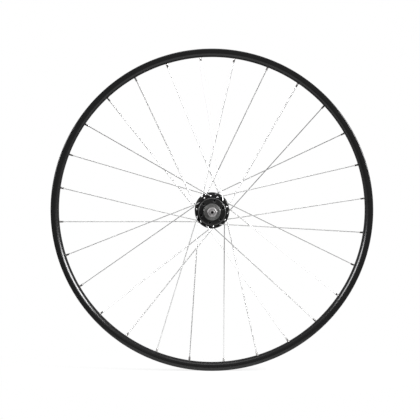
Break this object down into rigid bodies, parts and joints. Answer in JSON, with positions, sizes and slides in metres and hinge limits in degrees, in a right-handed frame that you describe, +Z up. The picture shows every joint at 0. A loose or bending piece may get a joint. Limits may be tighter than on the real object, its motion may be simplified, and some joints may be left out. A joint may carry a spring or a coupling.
{
  "type": "bicycle wheel",
  "caption": "Spoked rear bicycle wheel without tyre: black double-wall rim, crossed wire spokes and a disc-brake hub with splined freehub on a hollow axle.",
  "frame": {"origin": "centre of the rim on the axle line", "axes": "+Y along the axle towards the sprocket side, +Z up with the valve hole at the bottom"},
  "size_m": [0.6349, 0.146, 0.635],
  "materials": {
    "rim_black": "satin black anodised",
    "hub_black": "gloss black anodised",
    "spoke_steel": "drawn stainless wire",
    "nipple_silver": "nickel plated",
    "axle_steel": "turned steel",
    "nut_steel": "bright plated",
    "cap_grey": "grey plated",
    "bearing_steel": "ground",
    "freehub_steel": "plated",
    "seal_black": "matt"
  },
  "bodies": {
    "axle_unit": {"axle": "axle_steel", "left_locknut": "nut_steel", "right_locknut": "nut_steel", "left_spacer": "axle_steel", "centre_sleeve": "axle_steel", "drive_spacer": "axle_steel", "freehub_sleeve": "axle_steel", "right_spacer": "axle_steel", "left_bearing_inner_ring": "bearing_steel", "right_bearing_inner_ring": "bearing_steel", "inner_freehub_bearing_inner_ring": "bearing_steel", "outer_freehub_bearing_inner_ring": "bearing_steel"},
    "wheel": {"rim": "rim_black", "hub_shell": "hub_black", "nipples": "nipple_silver", "left_dust_cap": "cap_grey", "ratchet_ring": "freehub_steel", "left_bearing_outer_ring": "bearing_steel", "right_bearing_outer_ring": "bearing_steel", "spoke_01": "spoke_steel", "spoke_02": "spoke_steel", "spoke_03": "spoke_steel", "spoke_04": "spoke_steel", "spoke_05": "spoke_steel", "spoke_06": "spoke_steel", "spoke_07": "spoke_steel", "spoke_08": "spoke_steel", "spoke_09": "spoke_steel", "spoke_10": "spoke_steel", "spoke_11": "spoke_steel", "spoke_12": "spoke_steel", "spoke_13": "spoke_steel", "spoke_14": "spoke_steel", "spoke_15": "spoke_steel", "spoke_16": "spoke_steel", "spoke_17": "spoke_steel", "spoke_18": "spoke_steel", "spoke_19": "spoke_steel", "spoke_20": "spoke_steel", "spoke_21": "spoke_steel", "spoke_22": "spoke_steel", "spoke_23": "spoke_steel", "spoke_24": "spoke_steel", "spoke_25": "spoke_steel", "spoke_26": "spoke_steel", "spoke_27": "spoke_steel", "spoke_28": "spoke_steel"},
    "freehub": {"freehub_body": "freehub_steel", "pawl_springs": "bearing_steel", "right_dust_seal": "seal_black", "inner_freehub_bearing_outer_ring": "bearing_steel", "outer_freehub_bearing_outer_ring": "bearing_steel"},
    "pawl_1": {"pawl_1": "freehub_steel"},
    "pawl_2": {"pawl_2": "freehub_steel"},
    "pawl_3": {"pawl_3": "freehub_steel"}
  },
  "joints": [
    {"name": "wheel_spin", "type": "hinge", "parent": "axle_unit", "child": "wheel", "pos_m": [0, 0, 0], "axis": [0, -1, 0], "continuous": true},
    {"name": "freehub_spin", "type": "hinge", "parent": "wheel", "child": "freehub", "pos_m": [0, 0.0453, 0], "axis": [0, -1, 0], "continuous": true},
    {"name": "pawl_1_swing", "type": "hinge", "parent": "freehub", "child": "pawl_1", "pos_m": [0.01019, 0.0215, -0.00741], "axis": [0, -1, 0], "range_deg": [0, 12], "stiffness_Nm_per_rad": 0.02, "springref_deg": -17.19},
    {"name": "pawl_2_swing", "type": "hinge", "parent": "freehub", "child": "pawl_2", "pos_m": [0.00132, 0.0215, 0.01253], "axis": [0, -1, 0], "range_deg": [0, 12], "stiffness_Nm_per_rad": 0.02, "springref_deg": -17.19},
    {"name": "pawl_3_swing", "type": "hinge", "parent": "freehub", "child": "pawl_3", "pos_m": [-0.01151, 0.0215, -0.00512], "axis": [0, -1, 0], "range_deg": [0, 12], "stiffness_Nm_per_rad": 0.02, "springref_deg": -17.19}
  ]
}
